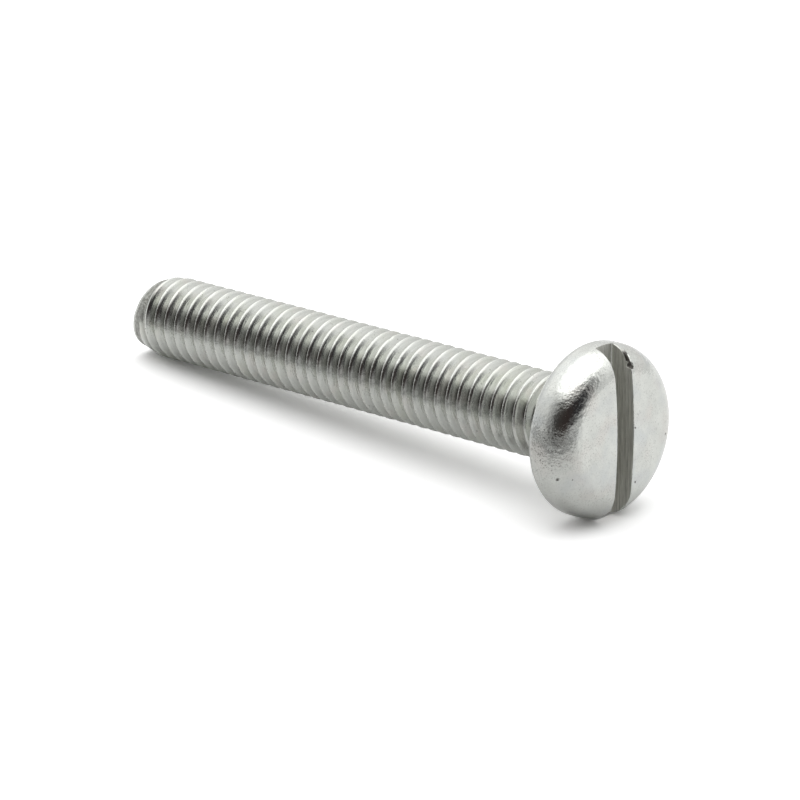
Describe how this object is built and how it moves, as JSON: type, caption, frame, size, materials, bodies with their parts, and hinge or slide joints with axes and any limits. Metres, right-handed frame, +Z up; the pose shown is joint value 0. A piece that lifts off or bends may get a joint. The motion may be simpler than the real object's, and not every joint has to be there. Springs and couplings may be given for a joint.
{
  "type": "machine screw",
  "caption": "Slotted pan head machine screw with a coarse metric thread along its whole shank.",
  "frame": {"origin": "on the surface that the screw lies on, under the middle of its bounding box", "axes": "+X along the screw as it lies, towards the head; +Y across the screw; +Z up. The screw's own axis rises 4.3 degrees from +X towards +Z."},
  "size_m": [0.0444, 0.0118, 0.0117],
  "materials": {
    "plated_steel": "bright zinc plate over cold-headed and rolled steel"
  },
  "bodies": {
    "root": {"screw": "plated_steel"}
  },
  "joints": []
}
